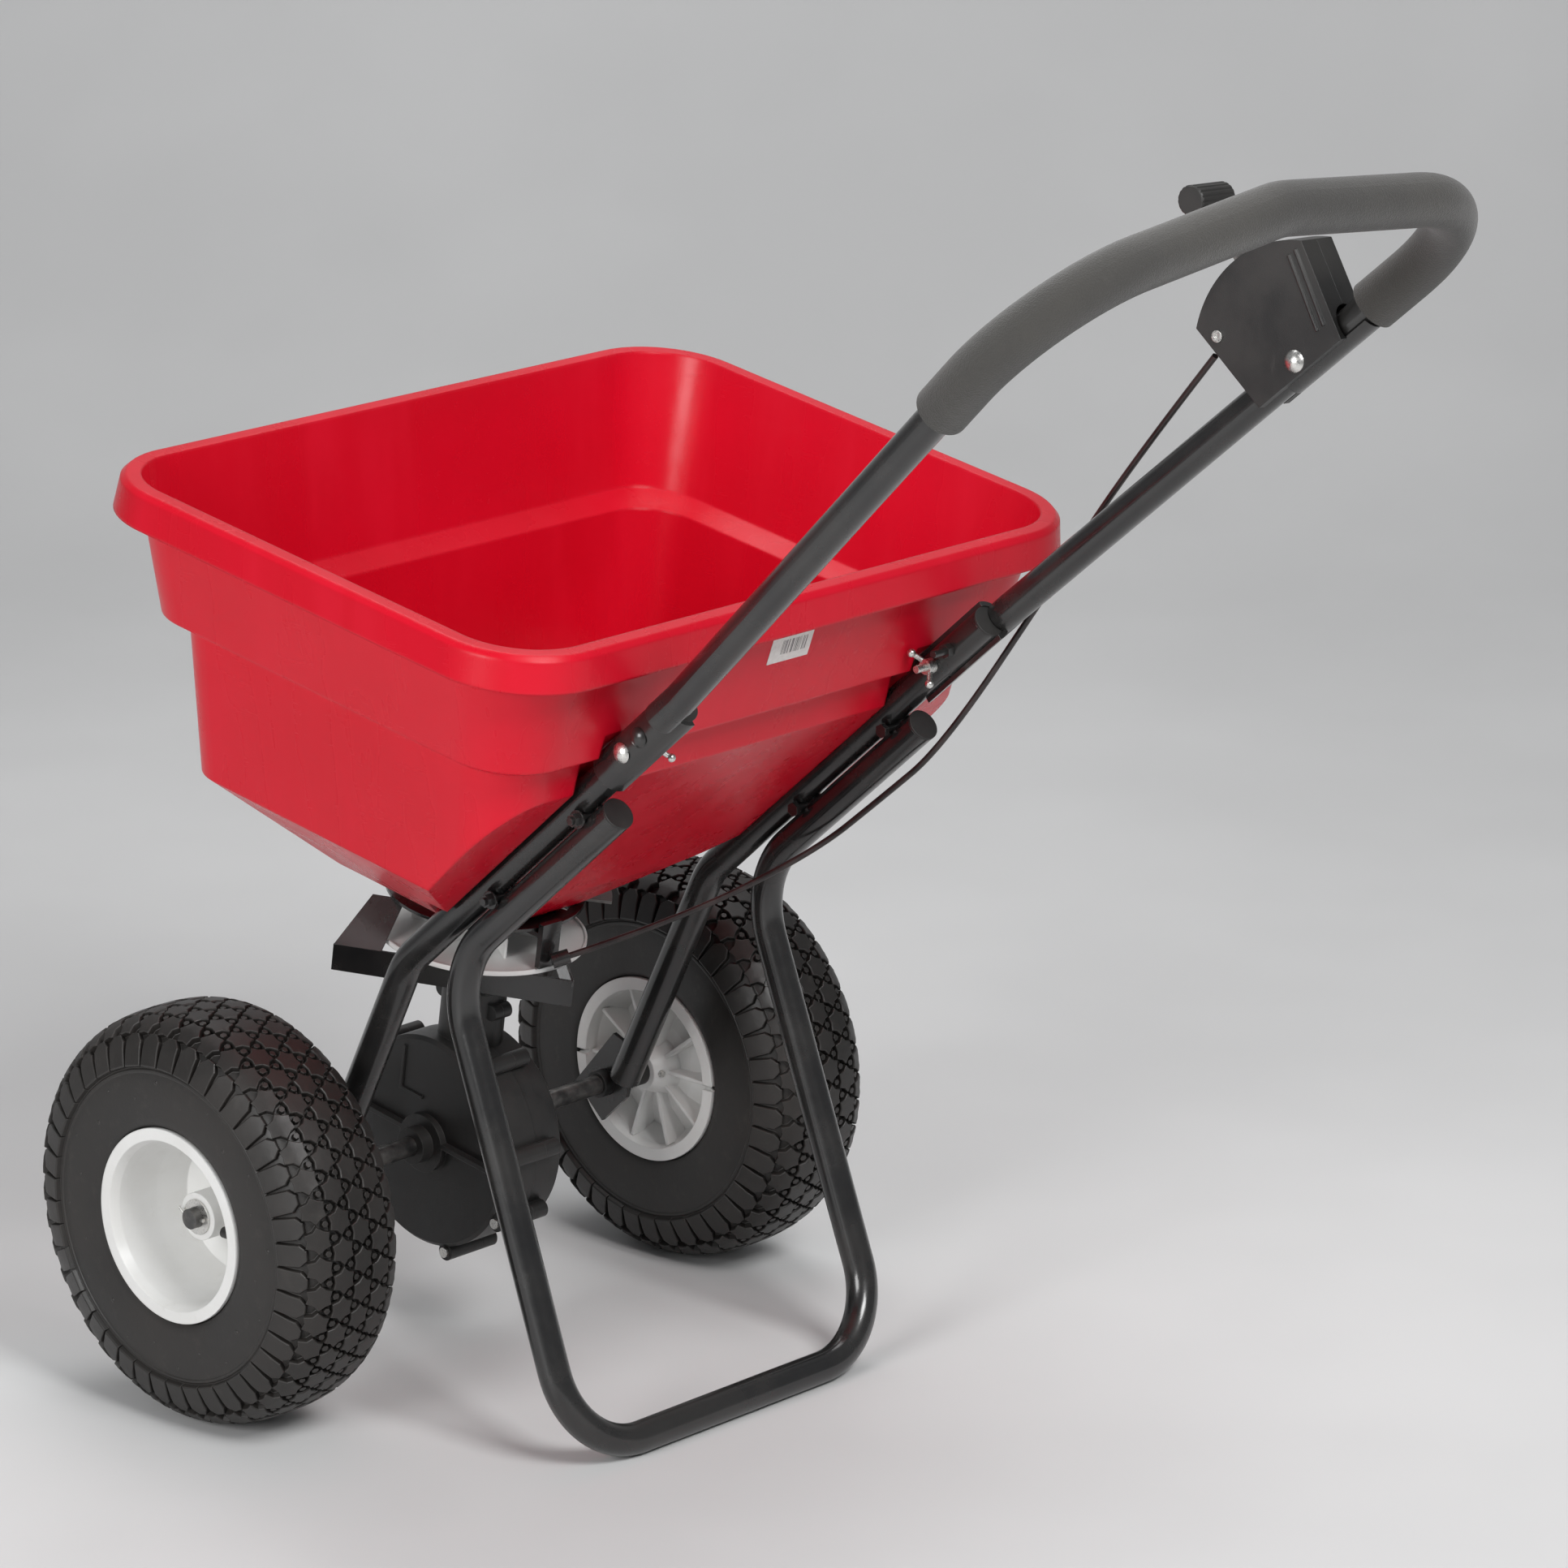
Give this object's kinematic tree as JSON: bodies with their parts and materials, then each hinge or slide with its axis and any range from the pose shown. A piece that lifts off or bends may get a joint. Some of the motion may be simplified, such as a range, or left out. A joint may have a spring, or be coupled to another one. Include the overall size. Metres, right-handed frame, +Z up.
{
  "type": "garden spreader",
  "caption": "Walk-behind broadcast spreader with a red hopper on a black tube frame, pneumatic wheels, a geared impeller under the hopper and a lever-worked gate.",
  "frame": {"origin": "centre of the bounding box on the ground", "axes": "+Z up, +Y from the axle back towards the handle, +X along the axle to the operator's left"},
  "size_m": [0.634, 1.0112, 1.041],
  "materials": {
    "frame_black": "gloss",
    "hopper_red": "satin",
    "foam": "matte",
    "cap_black": "satin",
    "bush_nylon": "satin",
    "zinc": "satin",
    "steel": "satin",
    "tyre_rubber": "matte",
    "rim_white": "satin",
    "cable_sleeve": "satin",
    "sticker": "matte"
  },
  "bodies": {
    "frame": {"main_tube_left": "frame_black", "main_tube_right": "frame_black", "stand_tube": "frame_black", "handle_tube": "frame_black", "axle_plate_left": "frame_black", "axle_plate_right": "frame_black", "control_clamp": "frame_black", "cable_bracket": "frame_black", "impeller_guard": "frame_black", "gate_cover": "frame_black", "frame_bolts": "frame_black", "frame_washers": "frame_black", "frame_nuts": "frame_black", "handle_nuts": "frame_black", "handle_bolts_upper": "frame_black", "hopper": "hopper_red", "foam_grip": "foam", "tube_caps": "cap_black", "control_housing_inner": "cap_black", "control_housing_outer": "cap_black", "gearbox_left": "cap_black", "gearbox_right": "cap_black", "axle_bush_left": "bush_nylon", "axle_bush_right": "bush_nylon", "neck_bush": "bush_nylon", "throat_bush": "bush_nylon", "handle_bolts": "zinc", "wing_nuts": "zinc", "control_bolt": "zinc", "control_nut": "zinc", "control_screw": "zinc", "gate_screws": "zinc", "gearbox_screws": "zinc", "control_cable": "cable_sleeve", "hopper_label": "sticker"},
    "axle_set": {"axle": "steel", "drive_gear": "bush_nylon", "gear_pin": "zinc", "right_rim": "rim_white", "right_tyre": "tyre_rubber", "right_valve_stem": "cap_black", "drive_pin": "zinc", "axle_end_pins": "zinc", "axle_washers": "zinc", "axle_spacer_left": "bush_nylon", "axle_spacer_right": "bush_nylon"},
    "left_wheel": {"left_rim": "rim_white", "left_tyre": "tyre_rubber", "left_valve_stem": "cap_black"},
    "impeller_set": {"impeller_shaft": "steel", "pinion": "bush_nylon", "impeller": "rim_white", "impeller_pin": "zinc", "agitator": "cap_black"},
    "gate": {"shut_off_gate": "steel"},
    "lever": {"control_lever": "steel", "lever_knob": "cap_black"},
    "stop": {"rate_stop": "steel", "stop_thumb_nut": "cap_black"}
  },
  "joints": [
    {"name": "axle_spin", "type": "hinge", "parent": "frame", "child": "axle_set", "pos_m": [0, -0.3406, 0.165], "axis": [1, 0, 0], "continuous": true},
    {"name": "left_wheel_spin", "type": "hinge", "parent": "frame", "child": "left_wheel", "pos_m": [0, -0.3406, 0.165], "axis": [1, 0, 0], "continuous": true},
    {"name": "impeller_spin", "type": "hinge", "parent": "frame", "child": "impeller_set", "pos_m": [0, -0.3406, 0.165], "axis": [0, 0.1599, 0.9871], "continuous": true},
    {"name": "lever_hinge", "type": "hinge", "parent": "frame", "child": "lever", "pos_m": [-0.22315, 0.33365, 0.85881], "axis": [0.9918, 0.095, 0.0851], "range_deg": [0, 30]},
    {"name": "gate_turn", "type": "hinge", "parent": "frame", "child": "gate", "pos_m": [0, -0.30655, 0.37526], "axis": [0, 0.1599, 0.9871], "range_deg": [-27, 0]},
    {"name": "stop_slide", "type": "hinge", "parent": "frame", "child": "stop", "pos_m": [-0.22315, 0.33365, 0.85881], "axis": [0.9918, 0.095, 0.0851], "range_deg": [-30, 5]}
  ],
  "couplings": [
    {"joint": "impeller_spin", "follows": "axle_spin", "ratio": -4},
    {"joint": "gate_turn", "follows": "lever_hinge", "ratio": -0.9}
  ]
}
